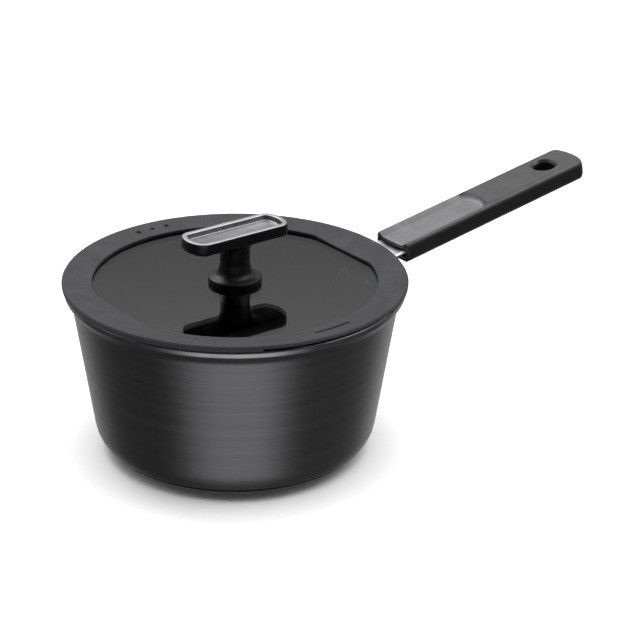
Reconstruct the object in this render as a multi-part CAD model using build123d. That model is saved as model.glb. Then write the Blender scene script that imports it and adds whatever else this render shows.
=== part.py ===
from build123d import *
from math import asin, cos, degrees, pi, radians, sin, sqrt, tan
import os

# Saucepan with a flat glass lid. All sizes are in millimetres.
# The origin is the middle of the underside, +Z is up and the handle points along +X.

# ---- pan: drawn, hard-anodised aluminium, 180 mm inside at the rim
TAPER = 8.6                 # lean of the wall from the vertical, degrees
WALL_R = 92.3               # outside radius of the straight wall, where the cove starts
COVE_Z = 91.0               # height of that place
WALL_T = 2.7
BASE_T = 4.5
CORNER_R = 19.0             # outside radius between wall and base
COVE_R = 5.0
RIM_R = 96.1                # outside radius of the rolled rim
RIM_LOW_Z = 95.3            # underside of the rim's straight outer face
RIM_TOP_Z = 99.0
RIM_EDGE_R = 1.6
RIM_W = 3.2                 # width of the rim's top
RIM_INNER_R = 1.0
INNER_COVE_Z = 91.3         # where the inside of the wall turns out to the rim

THROUGH = 12.0              # how far raw shapes run past the face that trims them

# ---- steel disc let into the underside for induction hobs
DISC_R = 58.0
DISC_T = 1.0
DISC_GAP = 0.2
DISC_HOLE_R = 1.6
DISC_ROWS = (20.0, 32.0, 44.0)   # radii of the rows of holes
DISC_PITCH = 12.5                # distance between holes along a row

# ---- lid: tempered glass in a thick silicone rim
LIFT_GAP = 0.3              # the lid hovers this far over the pan's rim
GLASS_R = 86.2
GLASS_T = 4.0
GLASS_TOP_Z = 98.9
GLASS_EDGE = 0.5
GLASS_HOLE_R = 4.2
LID_R = 97.4                # outside radius of the silicone rim
LID_TOP_Z = 102.5
LID_DISH = 1.9              # fall of the rim's top face from its outer edge to the window
WINDOW_R = 80.4
WINDOW_FLAT = 76.1          # half distance between the window's two flats, along the handle
WINDOW_CORNER_R = 14.0
GROOVE_R = 86.5
UNDER_LIP_R = 83.2          # inside radius of the lip that holds the glass from below
SKIRT_R = 88.6
SKIRT_LOW_Z = 90.4
POUR_SPAN = 53.0            # degrees of open gap under the rim, on the -Y side
POUR_LIFT = 1.2
PASSAGE_R = 87.4            # the skirt is thinned to this radius where liquid leaves
STRAIN_SLITS = 9            # slits on the +Y side that hold food back
STRAIN_SPAN = 2.6           # degrees
STRAIN_STEP = 5.2           # degrees
SKIRT_T = 2.8
SOFT_R = 0.4                # small rounding on moulded edges
LID_DRAFT = 0.9             # lean of the rim's outer face
MARK_DEPTH = 0.9
POUR_MARK_R = 87.2
POUR_MARK_SPAN = 14.4
MARK_SHIFT = 1.3            # the marks sit this many degrees nearer the handle than square
MARK_W = 1.7
STRAIN_MARK_R = 88.4
STRAIN_MARK_STEP = 6.3      # degrees between the three dimples
DIMPLE_R = 1.45

# ---- knob: moulded plastic T with a plate let into its top
KNOB_LENGTH = 64.8
KNOB_WIDTH = 23.4
KNOB_END_R = 18.0           # plan radius of the bar's two ends
KNOB_CORNER_R = 7.0
KNOB_TOP_Z = 130.2
BAR_T = 7.0
COLLAR_R = 15.1
COLLAR_GAP = 0.1            # the collar's edge just clears the glass
COLLAR_TOP = 3.3            # heights over the glass
NECK_R = 8.4
FLARE_TOP = 11.5
BAR_BLEND_R = 4.5
BAR_EDGE_R = 1.4
SEAL_T = 0.8
SEAL_R = 13.0
PLATE_T = 0.8               # sheet thickness of the plate
PLATE_DISH = 2.8            # depth of the dish pressed into it
PLATE_RIM = 2.7             # width of the flat border round the dish
PLATE_INSET = 0.35          # plastic showing round the plate's edge
PLATE_DRAFT = 30.0          # lean of the dish's wall, degrees
FIT = 0.4                   # looseness of covered parts
NECK_FOOT = (1.2, 1.6)      # where the flare leaves the collar: out from the neck, up
NECK_FLARE_R = 4.5
INSERT_R = 4.0
INSERT_L = 12.0
SCREW_R = 2.5
SCREW_HEAD_R = 5.0
SCREW_HEAD_T = 3.0
SCREW_SLOT = (6.0, 1.1)
WASHER_R = 9.0
WASHER_T = 1.2
LOWER_SEAL_R = 10.5
LOWER_SEAL_T = 1.5

# ---- grip: glass-filled plastic, rising away from the pan
GRIP_X = 113.6              # front end of the grip's top face
GRIP_Z = 99.2
GRIP_RISE = 9.5             # degrees
GRIP_L = 146.2
GRIP_W = 29.2
GRIP_T = 13.3
GRIP_BULGE = 0.4            # how far each side bows out
GRIP_TOP_R = 4.6            # rounding between the top face and the sides
GRIP_BOTTOM_R = 5.0
GRIP_END_R = 32.0           # plan radius of the far end
GRIP_CORNER_R = 4.0
SCOOP_L = 68.4
SCOOP_W = 25.8
SCOOP_DEPTH = 3.0
SCOOP_END_R = 24.0
SCOOP_SLOPE = 42.0          # lean of the scoop's sides, degrees
SCOOP_CORNER_R = 3.0
SCOOP_FLOOR_R = 3.0
HANG_AT = 122.5             # hang hole, from the front end
HANG_R = 6.3
HANG_CHAMFER = 1.9
SOCKET_TOP = 5.8            # depth of the socket's roof below the top face
SOCKET_FLOOR = 9.6
SOCKET_W = 24.4
SOCKET_L = 62.0
SOCKET_EDGE_R = 1.0

# ---- bracket: pressed stainless channel, riveted to the wall
SHEET_T = 1.9
CHANNEL_W = 23.6
CHANNEL_EDGE = 6.0          # depth of the channel's edges below the grip's top face
CHANNEL_SAG = 1.4           # the trough's middle lies this much lower
CHANNEL_LIP = 1.0           # height of the channel's upright edges
TANG_L = 58.0               # length of channel inside the grip
FOOT_W = 33.0
FOOT_H = 22.0
FOOT_Z = 75.5
FOOT_CORNER_R = 8.0
WEB_Y = 4.0                 # middle of each stiffening web
WEB_LOW_Z = 68.0
WEB_TOE = 2.5               # how far the web's lower end stands off the wall
WEB_ELBOW = (7.0, 3.0)      # its bend: out from the wall, up from the foot's middle
WEB_ELBOW_R = 9.0
WEB_STOP = 3.0              # the webs end this far before the grip
WEB_GAP = 0.5               # the webs start this far inside the channel's sheet
RIVET_Y = 10.5
RIVET_Z = 75.5
RIVET_R = 2.5
RIVET_HEAD_R = 4.3
RIVET_DOME = 1.7
RIVET_ROOT = 0.6            # how far a head's rim wraps down round the curved wall
GRIP_SCREW_AT = 38.0
GRIP_SCREW_R = 2.0
GRIP_SCREW_HEAD_R = 3.6
GRIP_SCREW_HEAD_T = 1.4
GRIP_SCREW_PLAY = 0.25
DRIVE_R = 1.5
DRIVE_DEPTH = 1.0

GRIP_PLANE = Plane(
    origin=(GRIP_X, 0, GRIP_Z),
    x_dir=(cos(radians(GRIP_RISE)), 0, sin(radians(GRIP_RISE))),
    z_dir=(-sin(radians(GRIP_RISE)), 0, cos(radians(GRIP_RISE))),
)
GRIP_SECTION = Plane(
    origin=GRIP_PLANE.origin, x_dir=(0, 1, 0), z_dir=GRIP_PLANE.x_dir
)


def wall_r(z):
    """Outside radius of the pan's straight wall at height z."""
    return WALL_R + (z - COVE_Z) * tan(radians(TAPER))


def turned(*corners):
    """Solid of revolution about Z from corners given as (radius, height, fillet)."""
    points = [(r, z) for r, z, _ in corners]
    outline = FilletPolyline(*points, radius=[f for _, _, f in corners], close=True)
    return revolve(Plane.XZ * make_face(outline.edges()), Axis.Z)


def disc(radius, low, high):
    """Plain cylinder on the Z axis between two heights."""
    return Pos(0, 0, low) * extrude(Circle(radius), high - low)


def ring_sector(inner, outer, low, high, centre, span):
    """Part of a square-edged ring, span degrees wide about the angle centre."""
    section = Pos((inner + outer) / 2, (low + high) / 2) * Rectangle(outer - inner, high - low)
    return Rot(0, 0, centre - span / 2) * revolve(Plane.XZ * section, Axis.Z, span)


def outside_of_pan(offset=0.0):
    """Solid filled cone of the wall's outer face, grown by offset."""
    low, high = FOOT_Z - FOOT_H, RIM_LOW_Z + FOOT_H
    return turned(
        (0, low, 0), (wall_r(low) + offset, low, 0), (wall_r(high) + offset, high, 0), (0, high, 0)
    )


def make_pan_shell():
    shell = turned(
        (0, 0, 0),
        (wall_r(0), 0, CORNER_R),
        (WALL_R, COVE_Z, COVE_R),
        (RIM_R, RIM_LOW_Z, RIM_EDGE_R),
        (RIM_R, RIM_TOP_Z, RIM_EDGE_R),
        (RIM_R - RIM_W, RIM_TOP_Z, RIM_INNER_R),
        (wall_r(INNER_COVE_Z) - WALL_T, INNER_COVE_Z, COVE_R + WALL_T),
        (wall_r(BASE_T) - WALL_T, BASE_T, CORNER_R - WALL_T),
        (0, BASE_T, 0),
    )
    shell -= disc(DISC_R + DISC_GAP, -1, DISC_T)
    return shell - rivet_shanks()


def make_base_disc():
    plate = disc(DISC_R, 0, DISC_T)
    for row in DISC_ROWS:
        count = round(2 * pi * row / DISC_PITCH)
        plate -= PolarLocations(row, count) * Cylinder(DISC_HOLE_R, 4 * DISC_T)
    return plate


def rivet_shanks():
    """Two horizontal pins through the wall and the bracket's foot."""
    pin = Rot(0, 90, 0) * Cylinder(RIVET_R, THROUGH)
    middle = wall_r(RIVET_Z) - WALL_T / 2
    return [Pos(middle, side * RIVET_Y, RIVET_Z) * pin for side in (-1, 1)]


def domed_head(radius, dome, root):
    """Low dome along +X standing on the YZ plane, with a root that sinks below it."""
    ball = (radius ** 2 + dome ** 2) / (2 * dome)
    cap = Pos(0, 0, dome - ball) * Sphere(ball)
    stock = Pos(0, 0, (dome - root) / 2) * Cylinder(radius, dome + root)
    return Rot(0, 90, 0) * (cap & stock)


def make_bracket_rivets(pan_shell, bracket):
    """Rivets whose heads bear on the wall inside and on the foot outside."""
    rivets = []
    for side in (-1, 1):
        y = side * RIVET_Y
        shank_in = sqrt((wall_r(RIVET_Z) - WALL_T) ** 2 - y ** 2)
        shank_out = sqrt((wall_r(RIVET_Z) + SHEET_T) ** 2 - y ** 2)
        lean = Rot(0, 0, degrees(asin(y / wall_r(RIVET_Z)))) * Rot(0, TAPER, 0)
        head = domed_head(RIVET_HEAD_R, RIVET_DOME, RIVET_ROOT)
        outer = Pos(shank_out, y, RIVET_Z) * lean * head
        inner = Pos(shank_in, y, RIVET_Z) * lean * Rot(0, 180, 0) * head
        length = shank_out - shank_in
        shank = Pos((shank_in + shank_out) / 2, y, RIVET_Z) * Rot(0, 90, 0) * Cylinder(
            RIVET_R, length
        )
        rivets.append(outer + shank + inner - pan_shell - bracket)
    return Compound(children=[Solid(rivet.solid().wrapped) for rivet in rivets])


def channel_section():
    """Shallow U with a sagging middle, drawn across the grip."""
    half = CHANNEL_W / 2
    edge, low = -CHANNEL_EDGE, -CHANNEL_EDGE - CHANNEL_SAG
    inner = ThreePointArc((-half + SHEET_T, edge), (0, low), (half - SHEET_T, edge))
    foot = edge - CHANNEL_LIP
    outer = ThreePointArc((half, foot), (0, low - SHEET_T), (-half, foot))
    return make_face(
        [
            *inner.edges(),
            *Polyline((half - SHEET_T, edge), (half, edge), (half, foot)).edges(),
            *outer.edges(),
            *Polyline((-half, foot), (-half, edge), (-half + SHEET_T, edge)).edges(),
        ]
    )


def make_handle_bracket():
    reach = GRIP_X - WALL_R + THROUGH
    section = GRIP_SECTION * channel_section()
    channel = extrude(section, TANG_L) + extrude(section, -reach)
    foot_outline = fillet(Rectangle(FOOT_W, FOOT_H).vertices(), FOOT_CORNER_R)
    foot = extrude(Plane.YZ * Pos(0, FOOT_Z) * foot_outline, 2 * WALL_R)
    foot &= outside_of_pan(SHEET_T)
    rise = tan(radians(GRIP_RISE))
    under = GRIP_Z - CHANNEL_EDGE - CHANNEL_SAG
    web_outline = FilletPolyline(
        (wall_r(WEB_LOW_Z) - THROUGH, WEB_LOW_Z),
        (wall_r(WEB_LOW_Z) + WEB_TOE, WEB_LOW_Z),
        (wall_r(FOOT_Z) + WEB_ELBOW[0], FOOT_Z + WEB_ELBOW[1]),
        (GRIP_X - WEB_STOP, under - WEB_STOP * rise - WEB_GAP),
        (WALL_R - THROUGH, under - (GRIP_X - WALL_R + THROUGH) * rise - WEB_GAP),
        radius=[0, SHEET_T / 2, WEB_ELBOW_R, 0, 0],
        close=True,
    )
    web = extrude(Plane.XZ * make_face(web_outline.edges()), SHEET_T / 2, both=True)
    webs = Pos(0, WEB_Y, 0) * web + Pos(0, -WEB_Y, 0) * web
    bracket = channel + foot + webs - outside_of_pan()
    screw = GRIP_PLANE * Pos(GRIP_SCREW_AT, 0, -GRIP_T) * Cylinder(GRIP_SCREW_R, GRIP_T)
    return bracket - rivet_shanks() - screw


def grip_section():
    """Cross-section of the grip: flat top, slightly bowed sides, rounded underside."""
    half = GRIP_W / 2
    shape = make_face(
        [
            *Line((-half, 0), (half, 0)).edges(),
            *ThreePointArc((half, 0), (half + GRIP_BULGE, -GRIP_T / 2), (half, -GRIP_T)).edges(),
            *Line((half, -GRIP_T), (-half, -GRIP_T)).edges(),
            *ThreePointArc((-half, -GRIP_T), (-half - GRIP_BULGE, -GRIP_T / 2), (-half, 0)).edges(),
        ]
    )
    shape = fillet(shape.vertices().group_by(Axis.Y)[-1], GRIP_TOP_R)
    return fillet(shape.vertices().group_by(Axis.Y)[0], GRIP_BOTTOM_R)


def round_ended(length, width, end_radius, corner_radius, start=0.0):
    """Plan outline that runs along +X and ends in a shallow arc."""
    sagitta = end_radius - sqrt(end_radius ** 2 - (width / 2) ** 2)
    square = length - sagitta
    shape = make_face(
        [
            *Polyline((square, -width / 2), (start, -width / 2), (start, width / 2),
                      (square, width / 2)).edges(),
            *ThreePointArc((square, width / 2), (length, 0), (square, -width / 2)).edges(),
        ]
    )
    return fillet(shape.vertices().group_by(Axis.X)[-1], corner_radius)


def make_handle_grip():
    body = extrude(GRIP_SECTION * grip_section(), GRIP_L)
    plan = round_ended(
        GRIP_L, GRIP_W + 2 * GRIP_BULGE, GRIP_END_R, GRIP_CORNER_R, start=-THROUGH
    )
    body &= GRIP_PLANE * Pos(0, 0, -2 * GRIP_T) * extrude(plan, 3 * GRIP_T)
    dish = round_ended(SCOOP_L, SCOOP_W, SCOOP_END_R, SCOOP_CORNER_R, start=-THROUGH)
    scoop = extrude(dish, -SCOOP_DEPTH, taper=SCOOP_SLOPE)
    floor_edges = scoop.edges().group_by(Axis.Z)[0]
    scoop = fillet(floor_edges, SCOOP_FLOOR_R)
    body -= GRIP_PLANE * scoop
    socket = Pos(SOCKET_L / 2, 0, -(SOCKET_TOP + SOCKET_FLOOR) / 2) * Box(
        SOCKET_L, SOCKET_W, SOCKET_FLOOR - SOCKET_TOP
    )
    body -= GRIP_PLANE * fillet(socket.edges().filter_by(Axis.X), SOCKET_EDGE_R)
    hole = Pos(HANG_AT, 0, -GRIP_T / 2) * Cylinder(HANG_R, 2 * GRIP_T)
    flare = HANG_R + HANG_CHAMFER
    for z, turn in ((0, 0), (-GRIP_T, 180)):
        hole += Pos(HANG_AT, 0, z) * Rot(turn, 0, 0) * Pos(0, 0, -HANG_CHAMFER / 2) * Cone(
            HANG_R, flare, HANG_CHAMFER
        )
    body -= GRIP_PLANE * hole
    screw_foot = Pos(GRIP_SCREW_AT, 0, -GRIP_T)
    screw_way = screw_foot * Cylinder(GRIP_SCREW_R + GRIP_SCREW_PLAY, GRIP_T)
    head_way = screw_foot * Cylinder(GRIP_SCREW_HEAD_R + GRIP_SCREW_PLAY, 2 * GRIP_SCREW_HEAD_T)
    return body - GRIP_PLANE * screw_way - GRIP_PLANE * head_way


def make_grip_screw():
    """Flat-headed, let into the grip from below and threaded into the bracket's tang."""
    seat = -GRIP_T + GRIP_SCREW_HEAD_T
    head = Pos(0, 0, -GRIP_T) * extrude(Circle(GRIP_SCREW_HEAD_R), GRIP_SCREW_HEAD_T)
    drive = Pos(0, 0, -GRIP_T) * extrude(RegularPolygon(DRIVE_R, 6), DRIVE_DEPTH)
    tip = -SOCKET_TOP - CHANNEL_SAG
    shank = Pos(0, 0, seat) * extrude(Circle(GRIP_SCREW_R), tip - seat)
    return GRIP_PLANE * Pos(GRIP_SCREW_AT, 0, 0) * (head + shank - drive)


def make_lid_glass():
    low = GLASS_TOP_Z - GLASS_T
    return turned(
        (GLASS_HOLE_R, low, 0),
        (GLASS_R, low, GLASS_EDGE),
        (GLASS_R, GLASS_TOP_Z, GLASS_EDGE),
        (GLASS_HOLE_R, GLASS_TOP_Z, 0),
    )


def make_lid_rim():
    seat = RIM_TOP_Z + LIFT_GAP
    low = GLASS_TOP_Z - GLASS_T
    lip_r = WINDOW_FLAT - THROUGH / 2
    fall = LID_DISH * (LID_R - lip_r) / (LID_R - WINDOW_R)
    rim = turned(
        (SKIRT_R, seat, 2 * SOFT_R),
        (LID_R - SOFT_R / 2, seat, SOFT_R),
        (LID_R, seat + 3 * SOFT_R, 4 * SOFT_R),
        (LID_R - LID_DRAFT, LID_TOP_Z, 2.5 * SOFT_R),
        (lip_r, LID_TOP_Z - fall, 0),
        (lip_r, GLASS_TOP_Z, 0),
        (GROOVE_R, GLASS_TOP_Z, 0),
        (GROOVE_R, low, 0),
        (UNDER_LIP_R, low, SOFT_R),
        (UNDER_LIP_R + SKIRT_T / 3, low - 5 * SOFT_R, 2 * SOFT_R),
        (SKIRT_R - SKIRT_T, SKIRT_LOW_Z, 1.5 * SOFT_R),
        (SKIRT_R - SOFT_R / 2, SKIRT_LOW_Z, 2 * SOFT_R),
    )
    window = fillet(
        (Circle(WINDOW_R) & Rectangle(2 * WINDOW_FLAT, 4 * WINDOW_R)).vertices(), WINDOW_CORNER_R
    )
    rim -= Pos(0, 0, GLASS_TOP_Z - 1) * extrude(window, THROUGH)
    floor = SKIRT_LOW_Z - 1
    rim -= ring_sector(PASSAGE_R, LID_R + 1, floor, seat + POUR_LIFT, -90, POUR_SPAN)
    first = 90 - STRAIN_STEP * (STRAIN_SLITS - 1) / 2
    for slit in range(STRAIN_SLITS):
        angle = first + slit * STRAIN_STEP
        rim -= ring_sector(PASSAGE_R, LID_R + 1, floor, seat + POUR_LIFT, angle, STRAIN_SPAN)
    return rim - rim_marks()


def rim_marks():
    """Long slot over the pouring gap and three dimples over the straining slits."""
    marks = []
    span = POUR_MARK_SPAN
    surface = LID_TOP_Z - LID_DISH * (LID_R - POUR_MARK_R) / (LID_R - WINDOW_R)
    low = surface - MARK_DEPTH
    high = LID_TOP_Z + 1
    inner, outer = POUR_MARK_R - MARK_W / 2, POUR_MARK_R + MARK_W / 2
    middle = -90 + MARK_SHIFT
    marks.append(ring_sector(inner, outer, low, high, middle, span))
    for end in (middle - span / 2, middle + span / 2):
        marks.append(Rot(0, 0, end) * Pos(POUR_MARK_R, 0, 0) * disc(MARK_W / 2, low, high))
    for step in (-1, 0, 1):
        turn = Rot(0, 0, 90 - MARK_SHIFT + step * STRAIN_MARK_STEP)
        marks.append(turn * Pos(STRAIN_MARK_R, 0, 0) * disc(DIMPLE_R, low, high))
    return marks


def bar_plan(inset=0.0):
    """Plan of the knob's bar, drawn in by inset: straight sides and shallow round ends."""
    half = KNOB_WIDTH / 2 - inset
    end = KNOB_LENGTH / 2 - inset
    end_r = KNOB_END_R - inset
    square = end - end_r + sqrt(end_r ** 2 - half ** 2)
    shape = make_face(
        [
            *Line((-square, -half), (square, -half)).edges(),
            *ThreePointArc((square, -half), (end, 0), (square, half)).edges(),
            *Line((square, half), (-square, half)).edges(),
            *ThreePointArc((-square, half), (-end, 0), (-square, -half)).edges(),
        ]
    )
    return fillet(shape.vertices(), KNOB_CORNER_R - inset)


def make_knob_body():
    glass = GLASS_TOP_Z
    bar_low = KNOB_TOP_Z - BAR_T
    stem = turned(
        (0, glass + COLLAR_GAP, 0),
        (COLLAR_R, glass + COLLAR_GAP, SOFT_R),
        (COLLAR_R, glass + COLLAR_TOP, 1.75 * SOFT_R),
        (NECK_R + NECK_FOOT[0], glass + COLLAR_TOP + NECK_FOOT[1], NECK_FLARE_R),
        (NECK_R, glass + FLARE_TOP, 2.0),
        (NECK_R, bar_low + BAR_T / 4, 0),
        (0, bar_low + BAR_T / 4, 0),
    )
    bar = Pos(0, 0, bar_low) * extrude(bar_plan(), BAR_T - PLATE_INSET)
    bar = fillet(bar.edges().group_by(Axis.Z)[0], BAR_EDGE_R)
    body = bar + stem
    meeting = body.edges().filter_by(GeomType.CIRCLE).filter_by(
        lambda e: abs(e.radius - NECK_R) < 0.01 and abs(e.center().Z - bar_low) < 0.01
    )
    body = fillet(meeting, BAR_BLEND_R)
    pocket = Pos(0, 0, KNOB_TOP_Z - PLATE_T) * extrude(bar_plan(PLATE_INSET), BAR_T)
    dish = bar_plan(PLATE_INSET + PLATE_RIM - FIT)
    pocket += Pos(0, 0, KNOB_TOP_Z - PLATE_T - PLATE_DISH) * extrude(dish, BAR_T)
    insert_way = disc(INSERT_R, glass, glass + INSERT_L + SEAL_T)
    seal_way = disc(SEAL_R, glass, glass + SEAL_T)
    return body - pocket - insert_way - seal_way


def make_knob_plate():
    """Pressed satin plate: a flat border round a shallow dish."""
    sheet = Pos(0, 0, KNOB_TOP_Z - PLATE_T) * extrude(bar_plan(PLATE_INSET), PLATE_T)
    sheet = fillet(sheet.edges().group_by(Axis.Z)[-1], SOFT_R)
    border = PLATE_INSET + PLATE_RIM
    under = extrude(bar_plan(border - FIT), -PLATE_DISH)
    sheet += Pos(0, 0, KNOB_TOP_Z - PLATE_T) * under
    hollow = extrude(bar_plan(border), -PLATE_DISH, taper=PLATE_DRAFT)
    return sheet - Pos(0, 0, KNOB_TOP_Z) * hollow


def make_knob_insert():
    glass = GLASS_TOP_Z + SEAL_T
    blind = glass + INSERT_L - PLATE_T
    return disc(INSERT_R, glass, glass + INSERT_L) - disc(SCREW_R, glass - THROUGH, blind)


def make_knob_screw():
    head_top = GLASS_TOP_Z - GLASS_T - LOWER_SEAL_T - WASHER_T
    tip = GLASS_TOP_Z + SEAL_T + INSERT_L - 2 * PLATE_T
    screw = turned(
        (0, head_top - SCREW_HEAD_T, 0),
        (SCREW_HEAD_R, head_top - SCREW_HEAD_T, SCREW_HEAD_T / 2),
        (SCREW_HEAD_R, head_top, 0),
        (SCREW_R, head_top, 0),
        (SCREW_R, tip, SOFT_R),
        (0, tip, 0),
    )
    slot = Pos(0, 0, head_top - SCREW_HEAD_T) * Box(*SCREW_SLOT, SCREW_HEAD_T)
    return screw - slot - Rot(0, 0, 90) * slot


def make_knob_washer():
    top = GLASS_TOP_Z - GLASS_T - LOWER_SEAL_T
    return turned(
        (SCREW_R + FIT / 2, top - WASHER_T, 0),
        (WASHER_R, top - WASHER_T, SOFT_R),
        (WASHER_R, top, SOFT_R),
        (SCREW_R + FIT / 2, top, 0),
    )


def make_knob_seal_upper():
    """Soft ring in a recess under the collar, bearing on the glass."""
    ring = disc(SEAL_R - FIT / 2, GLASS_TOP_Z, GLASS_TOP_Z + SEAL_T)
    return ring - disc(INSERT_R + FIT, GLASS_TOP_Z - THROUGH, GLASS_TOP_Z + THROUGH)


def make_knob_seal_lower():
    """Soft washer under the glass, with a sleeve that centres the screw in the hole."""
    top = GLASS_TOP_Z - GLASS_T
    bore = SCREW_R + FIT / 2
    return turned(
        (bore, top - LOWER_SEAL_T, 0),
        (LOWER_SEAL_R, top - LOWER_SEAL_T, SOFT_R),
        (LOWER_SEAL_R, top, SOFT_R),
        (GLASS_HOLE_R, top, 0),
        (GLASS_HOLE_R, top + GLASS_T, 0),
        (bore, top + GLASS_T, 0),
    )


pan_shell = make_pan_shell()
handle_bracket = make_handle_bracket()
parts = {
    "pan_shell": pan_shell,
    "base_disc": make_base_disc(),
    "handle_bracket": handle_bracket,
    "bracket_rivets": make_bracket_rivets(pan_shell, handle_bracket),
    "handle_grip": make_handle_grip(),
    "grip_screw": make_grip_screw(),
    "lid_glass": make_lid_glass(),
    "lid_rim": make_lid_rim(),
    "knob_body": make_knob_body(),
    "knob_plate": make_knob_plate(),
    "knob_insert": make_knob_insert(),
    "knob_screw": make_knob_screw(),
    "knob_washer": make_knob_washer(),
    "knob_seal_upper": make_knob_seal_upper(),
    "knob_seal_lower": make_knob_seal_lower(),
}

os.makedirs("parts", exist_ok=True)
for name, part in parts.items():
    export_step(part, f"parts/{name}.step")
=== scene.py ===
from math import acos, asin, atan2, cos, hypot, pi, radians, sin, sqrt, tan

import bmesh
import bpy
from mathutils import Matrix, Vector


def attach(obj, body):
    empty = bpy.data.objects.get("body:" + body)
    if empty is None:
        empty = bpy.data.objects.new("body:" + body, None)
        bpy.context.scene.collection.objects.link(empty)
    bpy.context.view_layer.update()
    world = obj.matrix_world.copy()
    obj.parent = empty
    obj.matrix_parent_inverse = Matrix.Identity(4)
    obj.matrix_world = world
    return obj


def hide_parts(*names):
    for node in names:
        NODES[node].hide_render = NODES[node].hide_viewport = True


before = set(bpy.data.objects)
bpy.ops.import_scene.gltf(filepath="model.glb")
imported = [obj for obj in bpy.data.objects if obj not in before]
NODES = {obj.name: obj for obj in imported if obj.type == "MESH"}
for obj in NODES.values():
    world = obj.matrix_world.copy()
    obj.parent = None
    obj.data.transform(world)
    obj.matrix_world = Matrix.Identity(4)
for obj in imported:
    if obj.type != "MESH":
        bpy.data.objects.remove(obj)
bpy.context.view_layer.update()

MM = 0.001

# ---- sizes in millimetres, the same as the part's own
TAPER = radians(8.6)
WALL_R, COVE_Z, WALL_T, BASE_T = 92.3, 91.0, 2.7, 4.5
CORNER_R, COVE_R, INNER_COVE_Z = 19.0, 5.0, 91.3
RIM_R, RIM_LOW_Z, RIM_TOP_Z, RIM_EDGE_R, RIM_W = 96.1, 95.3, 99.0, 1.6, 3.2
DISC_R, DISC_T = 58.2, 1.0
LID_R, LID_TOP_Z, LID_DISH, LIFT_GAP = 97.4, 102.5, 1.9, 0.3
WINDOW_R, WINDOW_FLAT, WINDOW_CORNER_R = 80.4, 76.1, 14.0
GLASS_R, GLASS_T, GLASS_TOP_Z, GLASS_HOLE_R = 86.2, 4.0, 98.9, 4.2
GROOVE_R, UNDER_LIP_R, SKIRT_R, SKIRT_LOW_Z = 86.5, 83.2, 88.6, 90.4
KNOB_HALF, KNOB_HALF_W, KNOB_END_R, KNOB_CORNER_R = 32.4, 11.7, 18.0, 7.0
KNOB_TOP_Z, BAR_T = 130.2, 7.0
NECK_R, COLLAR_R, COLLAR_TOP, COLLAR_GAP, FLARE_TOP = 8.4, 15.1, 3.3, 0.1, 11.5
PLATE_T, PLATE_DISH, PLATE_RIM, PLATE_INSET = 0.8, 2.8, 2.7, 0.4
INSERT_R, SEAL_R, SEAL_T = 4.0, 13.0, 0.8
BAR_EDGE_R, BAR_SWEEP_R = 1.4, 6.5
GRIP_X, GRIP_Z, GRIP_RISE = 113.6, 99.2, radians(9.5)
GRIP_L, GRIP_W, GRIP_T, GRIP_BULGE = 146.2, 29.2, 13.3, 0.4
GRIP_END_R, GRIP_CORNER_R, SHOULDER_R, END_EDGE_R = 32.0, 4.0, 4.6, 3.0
SCOOP_L, SCOOP_HALF, SCOOP_DEPTH, SCOOP_END_R = 68.4, 12.9, 3.0, 24.0
SCOOP_CORNER_R, SCOOP_BANK, RIDGE_SOFT = 3.0, 4.6, 0.45
SOCKET_HALF, SOCKET_L, SOCKET_FLOOR, SOCKET_ROOF, SOCKET_SAG = 12.2, 62.0, 9.7, 4.4, 1.1
SCREW_AT, SCREW_RECESS_R, SCREW_RECESS_T = 38.0, 3.85, 1.4
HANG_AT, HANG_R, HANG_CHAMFER = 122.5, 6.3, 1.9
CHANNEL_HALF, SHEET_T, CHANNEL_EDGE, CHANNEL_SAG = 11.8, 1.9, 6.0, 1.4
TANG_L, FOOT_Z, FOOT_HALF_W, FOOT_HALF_H, FOOT_CORNER_R = 58.0, 75.5, 16.5, 11.0, 8.0
RIVET_Y, RIVET_HEAD_R, RIVET_DOME = 10.5, 4.3, 1.7
WEB_Y, WEB_LOW_Z = 4.0, 68.0


# ---------------------------------------------------------------- outlines and meshes


def wall_r(z):
    return WALL_R + (z - COVE_Z) * tan(TAPER)


def smoothstep(low, high, x):
    t = min(1.0, max(0.0, (x - low) / (high - low)))
    return t * t * (3 - 2 * t)


def rounded(corners, steps=5, closed=False):
    """Points along straight lines whose corners (x, y, radius) are rounded off."""
    count = len(corners)
    points = []
    for i, (x, y, radius) in enumerate(corners):
        here = Vector((x, y))
        if radius <= 0 or (not closed and i in (0, count - 1)):
            points.append((x, y))
            continue
        back = (Vector(corners[i - 1][:2]) - here).normalized()
        ahead = (Vector(corners[(i + 1) % count][:2]) - here).normalized()
        half = acos(max(-1, min(1, back.dot(ahead)))) / 2
        middle = here + (back + ahead).normalized() * (radius / sin(half))
        first = here + back * (radius / tan(half)) - middle
        last = here + ahead * (radius / tan(half)) - middle
        sweep = atan2(first.x * last.y - first.y * last.x, first.dot(last))
        start = atan2(first.y, first.x)
        for k in range(steps + 1):
            angle = start + sweep * k / steps
            points.append((middle.x + radius * cos(angle), middle.y + radius * sin(angle)))
    return points


def span(start, end, count):
    return [start + (end - start) * k / count for k in range(count + 1)]


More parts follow.
